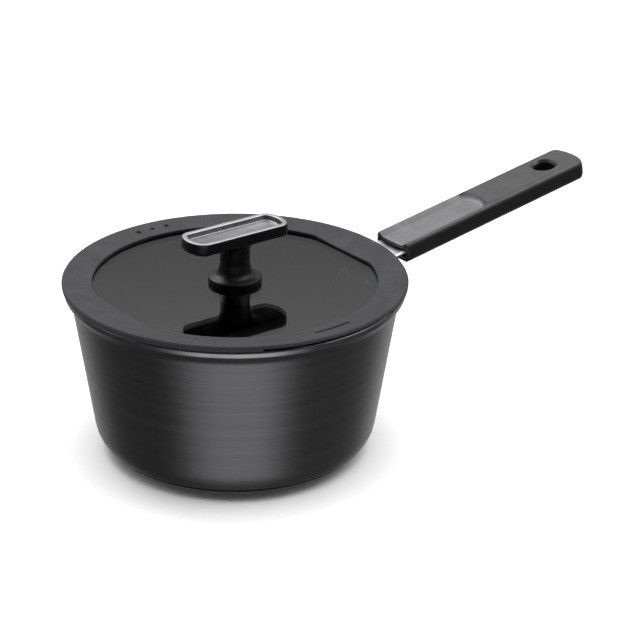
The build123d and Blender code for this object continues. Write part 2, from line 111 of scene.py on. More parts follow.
class Shape:
    """Collects rings of points in millimetres and turns them into one mesh."""

    def __init__(self):
        self.mesh = bmesh.new()

    def ring(self, points):
        return [self.mesh.verts.new(Vector(p) * MM) for p in points]

    def bridge(self, lower, upper, closed=True, finish=0):
        count = len(lower)
        for i in range(count if closed else count - 1):
            j = (i + 1) % count
            corners = []
            for vert in (lower[i], lower[j], upper[j], upper[i]):
                if vert not in corners:
                    corners.append(vert)
            if len(corners) > 2:
                face = self.mesh.faces.new(corners)
                face.material_index = finish(i) if callable(finish) else finish

    def loft(self, rings, closed=True, ends=True, loop=False, finish=0):
        made = [self.ring(points) for points in rings]
        for k, (lower, upper) in enumerate(zip(made, made[1:] + made[:1])):
            if k < len(made) - 1 or loop:
                chosen = (lambda i, row=k: finish(row, i)) if callable(finish) else finish
                self.bridge(lower, upper, closed, chosen)
        if ends and not loop:
            for end in (made[0], made[-1]):
                self.mesh.faces.new(end)
        return made

    def turned(self, outline, count, turn=0.0):
        """Spins an outline of (radius, height) about Z; points on the axis become one vertex."""
        columns = []
        axis = {k: self.mesh.verts.new((0, 0, z * MM)) for k, (r, z) in enumerate(outline) if r < 1e-6}
        for i in range(count):
            angle = turn + 2 * pi * i / count
            columns.append(
                [
                    axis.get(k) or self.mesh.verts.new(Vector((r * cos(angle), r * sin(angle), z)) * MM)
                    for k, (r, z) in enumerate(outline)
                ]
            )
        for here, after in zip(columns, columns[1:] + columns[:1]):
            self.bridge(here, after, closed=False)
        return columns


def add_piece(name, shape, materials, body, replaced, crease=32.0):
    """Turns a shape into an object that rides on a body and stands for a part of the model."""
    bmesh.ops.remove_doubles(shape.mesh, verts=shape.mesh.verts, dist=1e-7)
    bmesh.ops.recalc_face_normals(shape.mesh, faces=shape.mesh.faces)
    mesh = bpy.data.meshes.new(name)
    shape.mesh.to_mesh(mesh)
    shape.mesh.free()
    obj = bpy.data.objects.new(name, mesh)
    bpy.context.scene.collection.objects.link(obj)
    for material in materials:
        mesh.materials.append(material)
    for face in mesh.polygons:
        face.use_smooth = True
    mesh.set_sharp_from_angle(angle=radians(crease))
    if body:
        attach(obj, body)
        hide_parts(*replaced)
    return obj


def carve(obj, cutters):
    """Cuts shapes out of an object for good, then tidies the creases."""
    for shape in cutters:
        mesh = bpy.data.meshes.new("cutter")
        bmesh.ops.recalc_face_normals(shape.mesh, faces=shape.mesh.faces)
        shape.mesh.to_mesh(mesh)
        shape.mesh.free()
        cutter = bpy.data.objects.new("cutter", mesh)
        bpy.context.scene.collection.objects.link(cutter)
        cut = obj.modifiers.new("cut", "BOOLEAN")
        cut.operation = "DIFFERENCE"
        cut.solver = "EXACT"
        cut.object = cutter
        bpy.context.view_layer.update()
        graph = bpy.context.evaluated_depsgraph_get()
        result = bpy.data.meshes.new_from_object(obj.evaluated_get(graph))
        obj.modifiers.clear()
        old = obj.data
        obj.data = result
        bpy.data.meshes.remove(old)
        bpy.data.objects.remove(cutter)
    for face in obj.data.polygons:
        face.use_smooth = True
    obj.data.set_sharp_from_angle(angle=radians(30))


# ---------------------------------------------------------------- materials


def colour(code, alpha=1.0):
    """sRGB hex to the linear colour that shaders work in."""
    parts = [int(code[i : i + 2], 16) / 255 for i in (1, 3, 5)]
    return [c / 12.92 if c < 0.04045 else ((c + 0.055) / 1.055) ** 2.4 for c in parts] + [alpha]


def put(tree, kind, **settings):
    """Adds a node. Settings are its properties or its inputs; a socket is linked, a value is set."""
    node = tree.nodes.new(kind)
    for key, value in settings.items():
        if hasattr(node, key):
            setattr(node, key, value)
            continue
        numbered = key.startswith("in") and key[2:].isdigit()
        socket = node.inputs[int(key[2:]) if numbered else key.replace("_", " ")]
        if isinstance(value, bpy.types.NodeSocket):
            tree.links.new(value, socket)
        else:
            socket.default_value = value
    return node


def begin(name):
    """An empty material with its shader, ready to be fed."""
    material = bpy.data.materials.new(name)
    material.use_nodes = True
    tree = material.node_tree
    tree.nodes.clear()
    shader = put(tree, "ShaderNodeBsdfPrincipled")
    put(tree, "ShaderNodeOutputMaterial", Surface=shader.outputs[0])
    return material, tree, shader


def place(tree, scale=(1, 1, 1)):
    """Position on the object in metres, stretched by scale."""
    here = put(tree, "ShaderNodeTexCoord").outputs["Object"]
    return put(tree, "ShaderNodeMapping", Vector=here, Scale=scale).outputs[0]


def noise(tree, vector, size_mm, detail=2.0, roughness=0.5):
    """Value noise whose blotches are about size_mm across."""
    made = put(tree, "ShaderNodeTexNoise", Vector=vector, Scale=1000 / size_mm, Detail=detail,
               Roughness=roughness)
    return made.outputs[0]


def between(tree, amount, low, high, start=0.3, end=0.7, soft=False):
    """Maps a 0..1 pattern onto a range of values."""
    made = put(tree, "ShaderNodeMapRange", Value=amount,
               interpolation_type="SMOOTHSTEP" if soft else "LINEAR")
    for key, value in (("From Min", start), ("From Max", end), ("To Min", low), ("To Max", high)):
        made.inputs[key].default_value = value
    return made.outputs[0]


def blend(tree, amount, first, second):
    """Colour that goes from first to second with amount."""
    made = put(tree, "ShaderNodeMix", data_type="RGBA", in0=amount)
    for place_no, value in ((6, first), (7, second)):
        if isinstance(value, bpy.types.NodeSocket):
            tree.links.new(value, made.inputs[place_no])
        else:
            made.inputs[place_no].default_value = colour(value)
    return made.outputs[2]


def sums(tree, operation, first, second):
    made = put(tree, "ShaderNodeMath", operation=operation, in0=first, in1=second)
    return made.outputs[0]


def relief(tree, height, depth_mm, strength=1.0, normal=None):
    made = put(tree, "ShaderNodeBump", Height=height, Distance=depth_mm * MM, Strength=strength)
    if normal is not None:
        tree.links.new(normal, made.inputs["Normal"])
    return made.outputs[0]


def feed(tree, shader, **values):
    for key, value in values.items():
        socket = shader.inputs[key.replace("_", " ")]
        if isinstance(value, bpy.types.NodeSocket):
            tree.links.new(value, socket)
        else:
            socket.default_value = value


def turned_coords(tree):
    """(turns round Z, height, radius) of a point, for marks left by turning."""
    here = put(tree, "ShaderNodeTexCoord").outputs["Object"]
    split = put(tree, "ShaderNodeSeparateXYZ", Vector=here)
    flat = put(tree, "ShaderNodeVectorMath", operation="MULTIPLY", in0=here, in1=(1, 1, 0))
    radius = put(tree, "ShaderNodeVectorMath", operation="LENGTH", in0=flat.outputs[0])
    return here, split.outputs[2], radius.outputs[1]


def anodised_aluminium():
    """Hard-anodised aluminium, brushed round on a lathe: a charcoal oxide skin over metal.
    It gives fine level lines and a soft highlight that is drawn out up and down the wall."""
    material, tree, shader = begin("hard_anodised_aluminium")
    here, height, radius = turned_coords(tree)
    along = put(tree, "ShaderNodeCombineXYZ", X=radius, Y=0.0, Z=height).outputs[0]
    # the real lines are about 0.1 mm apart; they are drawn 0.35 mm apart so that they show
    fine = noise(tree, along, 0.35, 3.0, 0.6)
    broad = noise(tree, along, 3.5, 2.0)
    patches = noise(tree, here, 28.0, 3.0)
    shade = sums(tree, "ADD", sums(tree, "MULTIPLY", fine, 0.55), sums(tree, "MULTIPLY", broad, 0.3))
    shade = sums(tree, "ADD", shade, sums(tree, "MULTIPLY", patches, 0.15))
    amount = between(tree, shade, 0.0, 1.0, 0.35, 0.65)
    feed(tree, shader, Base_Color=blend(tree, amount, "#646466", "#757577"))
    wear = sums(tree, "ADD", broad, sums(tree, "MULTIPLY", patches, 0.5))
    rough = between(tree, wear, 0.36, 0.43, 0.5, 1.0)
    feed(tree, shader, Metallic=1.0, Roughness=rough, Anisotropic=0.55, Anisotropic_Rotation=0.25)
    tangent = put(tree, "ShaderNodeTangent", direction_type="RADIAL", axis="Z").outputs[0]
    tree.links.new(tangent, shader.inputs["Tangent"])
    feed(tree, shader, Normal=relief(tree, fine, 0.012, 0.6))
    return material


def smooth_rim_with_painted_highlight():
    """The same anodised skin on the rim, left a little smoother by the cutter and drawn paler as a
    painted highlight.
    """
    material, tree, shader = begin("burnished_rim")
    here, height, radius = turned_coords(tree)
    patches = noise(tree, here, 9.0, 3.0)
    # the rim's colour is paler than the wall's: a painted highlight
    feed(tree, shader, Base_Color=blend(tree, between(tree, patches, 0, 1), "#747477", "#86868a"))
    feed(tree, shader, Metallic=1.0, Roughness=between(tree, patches, 0.26, 0.34))
    feed(tree, shader, Normal=relief(tree, noise(tree, here, 0.8, 2.0), 0.004, 0.4))
    return material


def plastic(name, dark, pale, grain_mm, depth_mm, roughness, specular=0.5, sheen=0.0):
    """Moulded plastic: grain as fine pits, slow blotches of colour, and shine that varies with them."""
    material, tree, shader = begin(name)
    here = place(tree)
    pits = noise(tree, here, grain_mm, 3.0, 0.65)
    slow = noise(tree, here, 14.0, 3.0)
    amount = between(tree, sums(tree, "ADD", sums(tree, "MULTIPLY", pits, 0.6),
                                sums(tree, "MULTIPLY", slow, 0.4)), 0.0, 1.0, 0.35, 0.65)
    feed(tree, shader, Base_Color=blend(tree, amount, dark, pale))
    # the floor of each pit is duller than the land between them
    dull, glossy = max(roughness) + 0.07, min(roughness) - 0.05
    feed(tree, shader, Roughness=between(tree, amount, dull, glossy, 0.0, 1.0))
    shader.inputs["Specular IOR Level"].default_value = specular
    shader.inputs["Sheen Weight"].default_value = sheen
    shader.inputs["Sheen Roughness"].default_value = 0.6
    feed(tree, shader, Normal=relief(tree, pits, depth_mm, 0.8))
    return material


def sheet_metal(name, dark, pale, grain_mm, depth_mm, roughness, stretch=(1, 1, 1)):
    """Bare metal: blotchy tone, a fine blasted or brushed grain, and shine that varies."""
    material, tree, shader = begin(name)
    pits = noise(tree, place(tree, stretch), grain_mm, 3.0, 0.6)
    slow = noise(tree, place(tree), 7.0, 3.0)
    amount = between(tree, sums(tree, "ADD", sums(tree, "MULTIPLY", pits, 0.5),
                                sums(tree, "MULTIPLY", slow, 0.5)), 0.0, 1.0, 0.35, 0.65)
    feed(tree, shader, Base_Color=blend(tree, amount, dark, pale), Metallic=1.0)
    feed(tree, shader, Roughness=between(tree, slow, *roughness))
    feed(tree, shader, Normal=relief(tree, pits, depth_mm, 0.7))
    return material


def tempered_glass():
    """Tempered soda-lime glass with a faint smoky tint and a trace of wiping marks. It gives a clean
    mirror image of the knob over a dark pan."""
    material, tree, shader = begin("tempered_glass")
    here = place(tree)
    smears = noise(tree, here, 35.0, 4.0, 0.6)
    feed(tree, shader, Base_Color=blend(tree, between(tree, smears, 0, 1), "#8e9290", "#969a98"))
    feed(tree, shader, Roughness=between(tree, smears, 0.0, 0.012, 0.45, 0.75))
    shader.inputs["IOR"].default_value = 1.52
    shader.inputs["Transmission Weight"].default_value = 1.0
    feed(tree, shader, Normal=relief(tree, noise(tree, here, 60.0, 1.0), 0.01, 0.2))
    return material


ANODISED = anodised_aluminium()
SMOOTH_RIM_PAINTED_HIGHLIGHT = smooth_rim_with_painted_highlight()
# Moulded silicone rubber, matt with a fine bloom of dust-like texture; reads as flat charcoal.
SILICONE = plastic("rim_silicone", "#1c1c1e", "#242427", 0.7, 0.014, (0.54, 0.62), 0.28, 0.04)
# Glass-filled nylon off a spark-eroded mould: black-grey with a sparkling fine pit grain. The real
# pits are about 0.2 mm across; they are drawn 1.1 mm across so that they show.
GRIP_PLASTIC = plastic("glass_filled_nylon", "#030304", "#131315", 1.1, 0.13, (0.33, 0.40), 0.62)
# The same nylon where the mould was polished: the scoop is a little smoother, and its much paler colour
# is a painted sheen for the light its hollow catches.
SCOOP_NYLON_PAINTED_SHEEN = plastic("smooth_nylon", "#343437", "#515154", 1.0, 0.060, (0.30, 0.38), 0.75)
# Inside the hang hole the nylon is dull, and its colour is drawn close to black as painted shade.
BORE_NYLON_PAINTED_SHADE = plastic("cored_nylon", "#040405", "#09090a", 0.5, 0.006, (0.6, 0.7), 0.15)
# Hard heat-proof knob plastic with a satin surface: nearly black with broad, weak highlights.
KNOB_PLASTIC = plastic("knob_plastic", "#040405", "#08080a", 0.6, 0.003, (0.36, 0.44), 0.32)
# Silicone seals: soft, dark and dull.
SEAL = plastic("seal_silicone", "#26262a", "#2f2f33", 0.5, 0.01, (0.6, 0.7), 0.4)
# Metal plate blasted with fine beads: mid grey with an even, cloudy glow.
PLATE = sheet_metal("bead_blasted_plate", "#828286", "#929296", 0.35, 0.003, (0.30, 0.38))
# The plate's border is drawn paler than its blasted dish, so it reads as a pale outline.
PLATE_BORDER = sheet_metal("pale_border", "#a2a2a6", "#b0b0b4", 0.5, 0.002, (0.28, 0.36))
# The beads glance off the dish's steep wall and leave it coarser than the rest; its darker colour is
# painted shade.
PLATE_WALL_PAINTED_SHADE = sheet_metal("glanced_wall", "#3c3c40", "#5e5e62", 0.9, 0.01, (0.40, 0.5))
# Pressed stainless with a satin finish: pale, with long drawn lines that run out along the channel.
STAINLESS = sheet_metal("satin_stainless", "#d8d8da", "#e6e6e8", 0.5, 0.003, (0.40, 0.48), (0.06, 1, 1))
# Bare aluminium rivets, set after anodising: pale domes, a little dull from being struck.
RIVET = sheet_metal("rivet_aluminium", "#b8b8bc", "#c8c8cc", 0.6, 0.01, (0.3, 0.42))
# Ferritic stainless disc, turned on its face: pale rings round the middle.
DISC_STEEL = sheet_metal("turned_disc_steel", "#a4a4a8", "#b8b8bc", 0.5, 0.01, (0.24, 0.34))
# Brass insert: warm yellow, knurled and dull.
BRASS = sheet_metal("insert_brass", "#b08a48", "#c8a25a", 0.5, 0.01, (0.28, 0.4))
# Zinc-plated screw and washer: cool grey with a cloudy bluish cast.
ZINC = sheet_metal("zinc_steel", "#a2a5aa", "#b6b9be", 0.6, 0.006, (0.24, 0.36))
# Baked non-stick coating on the inside: black and nearly matt, slightly orange-peeled.
COATING = plastic("black_coating", "#020202", "#040404", 2.0, 0.001, (0.5, 0.6), 0.12)
GLASS = tempered_glass()


# ---------------------------------------------------------------- pan


def pan_outline():
    return rounded(
        [
            (0, DISC_T, 0),
            (DISC_R, DISC_T, 0.15),
            (DISC_R, 0, 0.3),
            (wall_r(0), 0, CORNER_R),
            (wall_r(18.0), 18.0, 0),
            (wall_r(86.5), 86.5, 0),
            (WALL_R, COVE_Z, COVE_R),
            (RIM_R, RIM_LOW_Z, RIM_EDGE_R),
            (RIM_R, RIM_TOP_Z, RIM_EDGE_R),
            (RIM_R - RIM_W, RIM_TOP_Z, 1.0),
            (wall_r(INNER_COVE_Z) - WALL_T, INNER_COVE_Z, COVE_R + WALL_T),
            (wall_r(BASE_T) - WALL_T, BASE_T, CORNER_R - WALL_T),
            (0, BASE_T, 0),
        ],
        steps=8,
    )


def make_pan():
    shape = Shape()
    shape.turned(pan_outline(), 256, turn=pi / 256)
    for face in shape.mesh.faces:
        middle = face.calc_center_median() / MM
        r = hypot(middle.x, middle.y)
        # faces of the rim take the skin drawn paler as a painted highlight
        if middle.z > RIM_LOW_Z - 1 and r > RIM_R - RIM_W - 1:
            face.material_index = 1
        elif middle.z > BASE_T - 0.1 and r < wall_r(middle.z) - WALL_T + 0.5:
            face.material_index = 2
    return add_piece("pan_body", shape, [ANODISED, SMOOTH_RIM_PAINTED_HIGHLIGHT, COATING], "pan", ["pan_shell"])


# ---------------------------------------------------------------- lid


POUR_AT, POUR_HALF, POUR_LIFT, PASSAGE_R = -90.0, 26.5, 1.2, 87.4
SLIT_STEP, SLIT_HALF, SLITS = 5.2, 1.3, 9
EDGE_DEG = 0.12
POUR_MARK_R, POUR_MARK_HALF, MARK_W, MARK_DEPTH, MARK_SHIFT = 87.2, 7.2, 1.7, 0.9, 1.3
DIMPLE_AT_R, DIMPLE_STEP, DIMPLE_R = 88.4, 6.3, 1.45


def window_r(angle):
    """Radius of the window's edge: a circle cut by two flats, with the corners rounded."""
    reach = WINDOW_R - WINDOW_CORNER_R
    corner_x = WINDOW_FLAT - WINDOW_CORNER_R
    corner_y = sqrt(reach ** 2 - corner_x ** 2)
    turn = abs(asin(max(-1, min(1, sin(angle)))))
    corner = atan2(corner_y, corner_x)
    if turn < atan2(corner_y, WINDOW_FLAT):
        return WINDOW_FLAT / cos(turn)
    if turn > corner:
        return WINDOW_R
    off = turn - corner
    return reach * cos(off) + sqrt(WINDOW_CORNER_R ** 2 - (reach * sin(off)) ** 2)


def openness(deg):
    """1 where liquid can leave under the rim, 0 where the rim seals."""
    gap = 1 - smoothstep(POUR_HALF - EDGE_DEG, POUR_HALF, abs(deg - POUR_AT))
    first = 90 - SLIT_STEP * (SLITS - 1) / 2
    for slit in range(SLITS):
        off = abs(deg - (first + slit * SLIT_STEP))
        gap = max(gap, 1 - smoothstep(SLIT_HALF - EDGE_DEG, SLIT_HALF, off))
    return gap


def mark_depth(r, deg):
    """How deep the slot and the dimples are pressed at a place on the rim's top."""
    along = max(0.0, abs(deg - POUR_AT - MARK_SHIFT) - POUR_MARK_HALF) * radians(1) * POUR_MARK_R
    off = hypot(along, r - POUR_MARK_R) - MARK_W / 2
    for step in (-1, 0, 1):
        angle = radians(deg - 90 + MARK_SHIFT - step * DIMPLE_STEP)
        off = min(off, hypot(r * cos(angle) - DIMPLE_AT_R, r * sin(angle)) - DIMPLE_R)
    return MARK_DEPTH * (1 - smoothstep(-0.22, 0.06, off))


def lid_angles():
    """Angles round the lid, closer together where its shape changes."""
    marks = set(round(-180 + 1.25 * k, 4) for k in range(288))
    for edge in (POUR_AT - POUR_HALF, POUR_AT + POUR_HALF):
        marks.update(round(edge + d, 4) for d in (-EDGE_DEG, -EDGE_DEG / 2, 0, EDGE_DEG / 2, EDGE_DEG))
    first = 90 - SLIT_STEP * (SLITS - 1) / 2
    for slit in range(SLITS):
        for side in (-1, 1):
            edge = first + slit * SLIT_STEP + side * SLIT_HALF
            marks.update(round(edge - side * d, 4) for d in (0, EDGE_DEG / 2, EDGE_DEG))
    for end in (-1, 1):
        middle = POUR_AT + MARK_SHIFT + end * POUR_MARK_HALF
        marks.update(round(middle + 0.1 * k, 4) for k in range(-8, 9))
    for step in (-1, 0, 1):
        middle = 90 - MARK_SHIFT + step * DIMPLE_STEP
        marks.update(round(middle + 0.13 * k, 4) for k in range(-9, 10))
    ordered = sorted(marks)
    kept = ordered[:1]
    for deg in ordered[1:]:
        if deg - kept[-1] > 0.035:
            kept.append(deg)
    return kept


def rim_section(deg):
    """Closed section of the silicone rim at one angle, as (radius, height)."""
    angle = radians(deg)
    seat = RIM_TOP_Z + LIFT_GAP
    low = GLASS_TOP_Z - GLASS_T
    inner = window_r(angle)

    def top(r):
        return LID_TOP_Z - LID_DISH * (LID_R - r) / (LID_R - WINDOW_R) - mark_depth(r, deg)

    def under(passage):
        outer = PASSAGE_R if passage else SKIRT_R
        lift = POUR_LIFT if passage else 0.0
        return rounded(
            [
                (GROOVE_R, GLASS_TOP_Z, 0),
                (GROOVE_R, low, 0),
                (UNDER_LIP_R, low, 0.4),
                (UNDER_LIP_R + 0.93, low - 2, 0.8),
                (SKIRT_R - 2.8, SKIRT_LOW_Z, 0.6),
                (outer - 0.2, SKIRT_LOW_Z, 0.5),
                (outer, seat + lift, 0.5),
                (LID_R - 0.2, seat + lift, 0.35),
                (LID_R, 101.15, 0.35),
                (LID_R - 0.9, LID_TOP_Z, 1.0),
                (92.0, top(92.0), 0),
            ],
            steps=4,
        )

    gap = openness(deg)
    shut, opened = under(False), under(True)
    skirt = [(a[0] + (b[0] - a[0]) * gap, a[1] + (b[1] - a[1]) * gap) for a, b in zip(shut, opened)]
    rows = [91.2, 90.6] + [90.2 - 0.2 * k for k in range(24)] + [85.0, 84.0]
    rows += [inner + (84.0 - inner) * f for f in (0.66, 0.33, 0.12)]
    surface = [(r, top(r)) for r in rows]
    lip = top(inner)
    edge = [(inner + 0.32, lip - 0.01), (inner + 0.14, lip - 0.07), (inner + 0.03, lip - 0.2),
            (inner, lip - 0.4), (inner, GLASS_TOP_Z + 0.25), (inner + 0.1, GLASS_TOP_Z)]
    return skirt + surface + edge


def make_lid_rim():
    shape = Shape()
    rings = []
    for deg in lid_angles():
        angle = radians(deg)
        rings.append([(r * cos(angle), r * sin(angle), z) for r, z in rim_section(deg)])
    shape.loft(rings, loop=True)
    return add_piece("silicone_rim", shape, [SILICONE], "lid", ["lid_rim"])


def make_glass():
    low = GLASS_TOP_Z - GLASS_T
    # extra loops beside the rounded edges keep both faces truly flat, so they mirror cleanly
    outline = rounded(
        [(GLASS_HOLE_R, low, 0.3), (GLASS_HOLE_R + 0.6, low, 0), (GLASS_R - 0.8, low, 0),
         (GLASS_R, low, 0.5), (GLASS_R, GLASS_TOP_Z, 0.5), (GLASS_R - 0.8, GLASS_TOP_Z, 0),
         (GLASS_HOLE_R + 0.6, GLASS_TOP_Z, 0), (GLASS_HOLE_R, GLASS_TOP_Z, 0.3)],
        steps=3, closed=True,
    )
    shape = Shape()
    shape.turned(outline + outline[:1], 192)
    return add_piece("glass_window", shape, [GLASS], "lid", ["lid_glass"])


# ---------------------------------------------------------------- knob


def bar_plan(inset, count=20):
    """Outline of the knob's bar, drawn in by inset: straight sides, round corners, shallow ends."""
    side = KNOB_HALF_W - KNOB_CORNER_R
    end_x = KNOB_HALF - KNOB_END_R
    corner_x = end_x + sqrt((KNOB_END_R - KNOB_CORNER_R) ** 2 - side ** 2)
    turn = atan2(side, corner_x - end_x)
    corner_r, end_r = KNOB_CORNER_R - inset, KNOB_END_R - inset
    quarter = [(corner_x + corner_r * cos(a), -side - corner_r * -sin(a))
               for a in span(-pi / 2, -turn, count)]
    quarter += [(end_x + end_r * cos(a), end_r * sin(a)) for a in span(-turn, turn, count)[1:-1]]
    quarter += [(corner_x + corner_r * cos(a), side + corner_r * sin(a))
                for a in span(turn, pi / 2, count)]
    straight = [(x, -KNOB_HALF_W + inset) for x in span(-corner_x, corner_x, 3 * count)[1:-1]]
    points = []
    for flip in (1, -1):
        points += [(flip * x, flip * y) for x, y in straight + quarter]
    return points


def make_knob():
    shape = Shape()
    edge = bar_plan(0)
    turns = [atan2(y, x) for x, y in edge]
    glass, bar_low = GLASS_TOP_Z, KNOB_TOP_Z - BAR_T
    stem = rounded(
        [
            (INSERT_R, glass + SEAL_T, 0),
            (SEAL_R, glass + SEAL_T, 0),
            (SEAL_R, glass + COLLAR_GAP, 0),
            (COLLAR_R, glass + COLLAR_GAP, 0.4),
            (COLLAR_R, glass + COLLAR_TOP, 0.7),
            (NECK_R + 1.2, glass + COLLAR_TOP + 1.6, 4.5),
            (NECK_R, glass + FLARE_TOP, 2.0),
            (NECK_R, bar_low - 7.0, 0),
        ],
        steps=7,
    )
    rings = [[(r * cos(a), r * sin(a), z) for a in turns] for r, z in stem]
    # the neck opens into the bar with a wide sweep that is tighter where the bar is narrow
    flat = bar_plan(BAR_EDGE_R)
    room = []
    for x, y in flat:
        free = hypot(x, y) - NECK_R - 0.1
        room.append(BAR_SWEEP_R * free / (free ** 4 + BAR_SWEEP_R ** 4) ** 0.25)
    for step in range(11):
        angle = pi / 2 * step / 10
        rings.append(
            [
                ((NECK_R + f * (1 - cos(angle))) * cos(a), (NECK_R + f * (1 - cos(angle))) * sin(a),
                 bar_low - f * (1 - sin(angle)))
                for f, a in zip(room, turns)
            ]
        )
    for step in range(9):
        angle = pi / 2 * step / 8
        inset = BAR_EDGE_R - BAR_EDGE_R * sin(angle)
        z = bar_low + BAR_EDGE_R - BAR_EDGE_R * cos(angle)
        rings.append([(x, y, z) for x, y in bar_plan(inset)])
    for inset, z in ((0, -2.0), (0, -0.55), (0.06, -0.38), (0.2, -0.3), (0.33, -0.32), (0.36, -0.8),
                     (2.6, -0.84), (2.6, -3.6)):
        rings.append([(x, y, KNOB_TOP_Z + z) for x, y in bar_plan(inset)])
    shape.loft(rings)
    return add_piece("knob", shape, [KNOB_PLASTIC], "lid", ["knob_body"])


def make_plate():
    shape = Shape()
    border = PLATE_INSET + PLATE_RIM
    rings = []
    under = -PLATE_DISH - 0.6
    section = [
        # underneath, and up round the outer edge
        (border + 2.4, under), (2.75, under), (2.75, -PLATE_T - 0.02), (0.5, -PLATE_T - 0.02),
        (PLATE_INSET, -PLATE_T), (PLATE_INSET, -0.36), (0.44, -0.2), (0.54, -0.07), (0.7, -0.01),
        # across the border and down into the dish
        (0.8, 0.0), (border - 0.3, 0.0), (border - 0.12, -0.02), (border + 0.03, -0.09),
        (border + 0.2, -0.28), (border + 0.75, -1.25), (border + 1.3, -2.2), (border + 1.55, -2.52),
        (border + 1.9, -2.72), (border + 2.4, -PLATE_DISH),
    ]
    for inset, z in section:
        rings.append([(x, y, KNOB_TOP_Z + z) for x, y in bar_plan(inset)])

    def finish(row, i):
        if row < 3 or row >= len(section) - 3:
            return 0
        # the dish's steep wall takes the metal drawn darker as painted shade
        return 1 if section[row][0] < border + 0.1 else 2

    shape.loft(rings, finish=finish)
    return add_piece("knob_top_plate", shape, [PLATE, PLATE_BORDER, PLATE_WALL_PAINTED_SHADE], "lid",
                     ["knob_plate"])


# ---------------------------------------------------------------- grip


def grip_point(u, v, w):
    """From the grip's own axes (along, across, up from the top face) to the part's."""
    c, s = cos(GRIP_RISE), sin(GRIP_RISE)
    return (GRIP_X + u * c - w * s, v, GRIP_Z + u * s + w * c)


def scoop_depth(a, v):
    """Depth of the thumb scoop at a place on the top face; zero outside it."""
    across, along = SCOOP_HALF - abs(v), SCOOP_L - a
    if min(across, along) <= 0:
        return 0.0
    inside = min(across, along)
    if across < SCOOP_CORNER_R and along < SCOOP_CORNER_R:
        inside = SCOOP_CORNER_R - hypot(SCOOP_CORNER_R - across, SCOOP_CORNER_R - along)
    if inside <= 0:
        return 0.0
    fall = 1 - (1 - min(1, inside / SCOOP_BANK)) ** 2
    return SCOOP_DEPTH * fall


def arc_sag(a, v):
    """How far a cross line bows back at the sides, to follow the scoop's and the grip's ends."""
    bend = smoothstep(8, 50, a)
    r = SCOOP_END_R + (GRIP_END_R - SCOOP_END_R) * smoothstep(SCOOP_L + 3, GRIP_L - 8, a)
    return bend * (r - sqrt(r * r - v * v))


def grip_loop():
    """Section of the grip as (across, up): down one side, under, up the other and over the top."""
    half = GRIP_W / 2
    flat = half - SHOULDER_R
    degs = [0, 3, 6, 9, 12, 15, 18, 21, 24, 26, 27.5, 28.5, 29.3, 30.1, 30.9, 31.7, 32.5, 33.5, 35,
            38, 42, 47, 53, 60, 68, 76, 84]
    across = [0.0, 1.2, 2.4, 3.6, 4.8, 5.8, 6.6, 7.2, 7.8, 8.3, 8.8, 9.2, 9.6]
    right = [(v, 0.0) for v in across]
    right += [(flat + SHOULDER_R * sin(radians(d)), SHOULDER_R * cos(radians(d)) - SHOULDER_R)
              for d in degs]
    right += rounded(
        [(half, -SHOULDER_R - 0.1, 0), (half + GRIP_BULGE, -7.0, 12.0), (half, -GRIP_T, 4.8),
         (0, -GRIP_T, 0)],
        steps=7,
    )[:-1]
    right += [(v, -GRIP_T) for v in (7.0, 4.7, 2.4)]
    left = [(-v, w) for v, w in reversed(right[1:])]
    return right + [(0.0, -GRIP_T)] + left


def socket_outline():
    """Mouth of the socket: its roof hangs a little in the middle like the scoop above it."""
    near = SOCKET_HALF - 0.6
    half, floor, side = SOCKET_HALF, -SOCKET_FLOOR, -SOCKET_ROOF - 0.1
    roof = [(v, -SOCKET_ROOF - SOCKET_SAG * (1 - (v / half) ** 2)) for v in span(-near, near, 16)]
    return rounded([(v, w, 0.0) for v, w in roof] +
                   [(half, side, 0.4), (half, floor, 1.0), (-half, floor, 1.0), (-half, side, 0.4)],
                   steps=4, closed=True)


def reach_outline(outline, centre, point):
    """Where the line from centre through point crosses the outline."""
    cx, cy = centre
    dx, dy = point[0] - cx, point[1] - cy
    best = None
    for (x1, y1), (x2, y2) in zip(outline, outline[1:] + outline[:1]):
        ex, ey = x2 - x1, y2 - y1
        cross = dx * ey - dy * ex
        if abs(cross) < 1e-12:
            continue
        t = ((x1 - cx) * ey - (y1 - cy) * ex) / cross
        k = ((x1 - cx) * dy - (y1 - cy) * dx) / cross
        if t > 0 and -1e-9 <= k <= 1 + 1e-9 and (best is None or t < best):
            best = t
    return (cx + dx * best, cy + dy * best)


